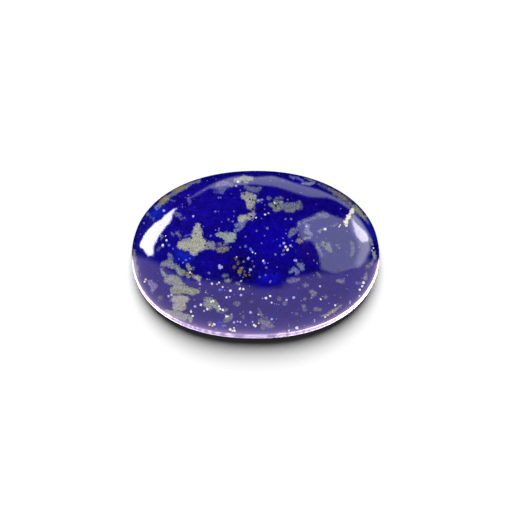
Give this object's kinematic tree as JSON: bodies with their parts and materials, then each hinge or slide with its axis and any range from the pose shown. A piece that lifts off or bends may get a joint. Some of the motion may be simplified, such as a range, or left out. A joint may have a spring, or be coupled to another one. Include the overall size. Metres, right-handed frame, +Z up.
{
  "type": "polished oval lapis lazuli cabochon",
  "caption": "Oval domed gemstone cabochon with a flat back, polished deep blue lapis lazuli with pale calcite patches and brassy pyrite grains.",
  "frame": {"origin": "centre of the flat back, at the middle of the oval", "axes": "+X along the oval's length, +Y across its width, +Z up out of the back through the dome's crown"},
  "size_m": [0.018, 0.0122, 0.005],
  "materials": {
    "polished_lapis": "glossy polish: deep blue lazurite with cream and grey-green calcite patches and flush brassy pyrite grains"
  },
  "bodies": {
    "root": {"lapis_cabochon": "polished_lapis"}
  },
  "joints": []
}
